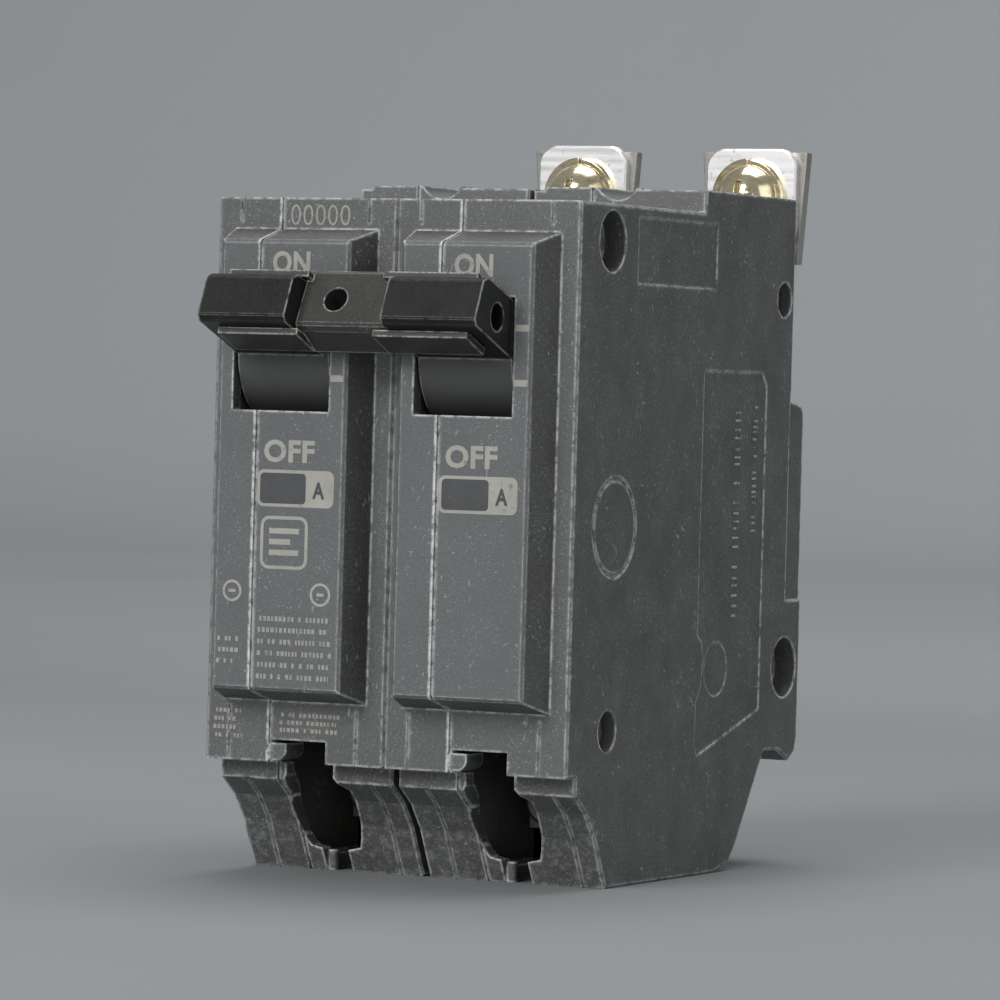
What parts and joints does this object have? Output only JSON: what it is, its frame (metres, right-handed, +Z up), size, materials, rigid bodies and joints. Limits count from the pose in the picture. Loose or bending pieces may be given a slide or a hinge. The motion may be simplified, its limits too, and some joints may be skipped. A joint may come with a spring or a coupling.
{
  "type": "circuit breaker",
  "caption": "Bolt-on multi-pole moulded circuit breaker: tied toggle handles on raised front panels, plated line tabs with domed screws at the top rear, wire entries at the lower front.",
  "frame": {"origin": "centre of the footprint, at the underside", "axes": "+X to the right seen from the front, -Y out of the front, +Y into the panel, +Z up"},
  "size_m": [0.0508, 0.1025, 0.0956],
  "materials": {
    "housing_moulding": "matt moulded thermoset",
    "handle_moulding": "satin black moulding",
    "tie_moulding": "matt moulding",
    "trip_moulding": "moulded",
    "copper": "plain copper",
    "silver_contact": "silver alloy",
    "tinned_strap": "tin-plated copper",
    "brassy_zinc": "yellow zinc-plated steel",
    "dark_steel": "dull steel",
    "bimetal_strip": "rolled",
    "plated_steel": "zinc-plated",
    "vulcanised_fibre": "red fibre sheet"
  },
  "bodies": {
    "housing": {"cover_left": "housing_moulding", "case_left": "housing_moulding", "fixed_contact_left": "silver_contact", "line_strap_left": "tinned_strap", "load_strap_left": "copper", "bimetal_left": "bimetal_strip", "magnet_yoke_left": "dark_steel", "arc_plates_left": "plated_steel", "arc_frame_left": "vulcanised_fibre", "braid_left": "copper", "cover_right": "housing_moulding", "case_right": "housing_moulding", "fixed_contact_right": "silver_contact", "line_strap_right": "tinned_strap", "load_strap_right": "copper", "bimetal_right": "bimetal_strip", "magnet_yoke_right": "dark_steel", "arc_plates_right": "plated_steel", "arc_frame_right": "vulcanised_fibre", "braid_right": "copper", "square_washers": "plated_steel", "calibration_screws": "dark_steel", "rivets": "plated_steel"},
    "handles": {"handle_left": "handle_moulding", "handle_right": "handle_moulding", "tie_bar": "tie_moulding", "tie_pins": "plated_steel", "arm_pins": "plated_steel"},
    "trip": {"trip_bar": "trip_moulding", "armature_left": "dark_steel", "armature_right": "dark_steel"},
    "arm_left": {"contact_arm_left": "copper", "moving_contact_left": "silver_contact"},
    "cradle_left": {"cradle_left": "plated_steel", "toggle_spring_left": "plated_steel"},
    "line_screw_left": {"line_screw_left": "brassy_zinc", "lock_washer_left": "brassy_zinc"},
    "load_clamp_left": {"load_screw_left": "dark_steel", "clamp_plate_left": "dark_steel"},
    "arm_right": {"contact_arm_right": "copper", "moving_contact_right": "silver_contact"},
    "cradle_right": {"cradle_right": "plated_steel", "toggle_spring_right": "plated_steel"},
    "line_screw_right": {"line_screw_right": "brassy_zinc", "lock_washer_right": "brassy_zinc"},
    "load_clamp_right": {"load_screw_right": "dark_steel", "clamp_plate_right": "dark_steel"}
  },
  "joints": [
    {"name": "handle_toggle", "type": "hinge", "parent": "housing", "child": "handles", "pos_m": [0, -0.032, 0.0656], "axis": [1, 0, 0], "range_deg": [0, 39.2], "deforming": ["toggle_spring_left", "toggle_spring_right"]},
    {"name": "common_trip", "type": "hinge", "parent": "housing", "child": "trip", "pos_m": [0, 0.0073, 0.0264], "axis": [1, 0, 0], "range_deg": [-6, 0], "stiffness_Nm_per_rad": 0.05, "springref_deg": 1.15},
    {"name": "contact_arm_left", "type": "hinge", "parent": "handles", "child": "arm_left", "pos_m": [0, -0.02512, 0.06315], "axis": [1, 0, 0], "range_deg": [-63, 0], "deforming": ["toggle_spring_left"]},
    {"name": "cradle_left", "type": "hinge", "parent": "housing", "child": "cradle_left", "pos_m": [0, -0.012, 0.05], "axis": [1, 0, 0], "range_deg": [-12, 0], "deforming": ["toggle_spring_left"]},
    {"name": "line_screw_left", "type": "slide", "parent": "housing", "child": "line_screw_left", "axis": [0, -1, 0], "range_m": [0, 0.006]},
    {"name": "load_clamp_left", "type": "slide", "parent": "housing", "child": "load_clamp_left", "axis": [0, 1, 0], "range_m": [0, 0.002]},
    {"name": "contact_arm_right", "type": "hinge", "parent": "handles", "child": "arm_right", "pos_m": [0, -0.02512, 0.06315], "axis": [1, 0, 0], "range_deg": [-63, 0], "deforming": ["toggle_spring_right"]},
    {"name": "cradle_right", "type": "hinge", "parent": "housing", "child": "cradle_right", "pos_m": [0, -0.012, 0.05], "axis": [1, 0, 0], "range_deg": [-12, 0], "deforming": ["toggle_spring_right"]},
    {"name": "line_screw_right", "type": "slide", "parent": "housing", "child": "line_screw_right", "axis": [0, -1, 0], "range_m": [0, 0.006]},
    {"name": "load_clamp_right", "type": "slide", "parent": "housing", "child": "load_clamp_right", "axis": [0, 1, 0], "range_m": [0, 0.002]}
  ],
  "couplings": [
    {"joint": "contact_arm_left", "follows": "handle_toggle", "ratio": -1.602},
    {"joint": "cradle_left", "follows": "common_trip", "ratio": 2},
    {"joint": "contact_arm_right", "follows": "handle_toggle", "ratio": -1.602},
    {"joint": "cradle_right", "follows": "common_trip", "ratio": 2}
  ]
}
